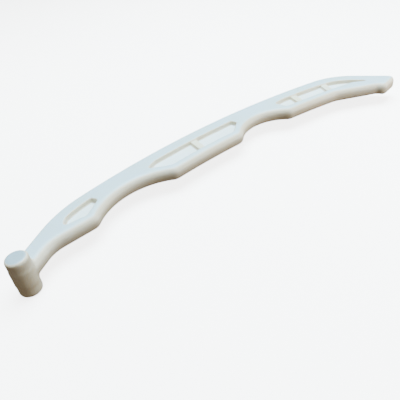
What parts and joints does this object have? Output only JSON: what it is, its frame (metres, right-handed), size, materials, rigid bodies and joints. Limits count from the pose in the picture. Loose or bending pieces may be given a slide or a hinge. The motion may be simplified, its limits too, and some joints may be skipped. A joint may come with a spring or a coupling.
{
  "type": "timing chain guide",
  "caption": "Bowed one-piece plastic guide with a scalloped, rounded and pocketed back and a round pivot barrel at one end; its smooth outer edge supports a timing chain.",
  "frame": {"origin": "on the pivot barrel's axis, at the middle of the bar's depth", "axes": "+X along the chord to the tip, +Y to the side that the chain runs on, +Z along the barrel's axis, up as the part lies"},
  "size_m": [0.2588, 0.048, 0.0198],
  "materials": {
    "nylon": "satin"
  },
  "bodies": {
    "root": {"chain_guide": "nylon"}
  },
  "joints": []
}
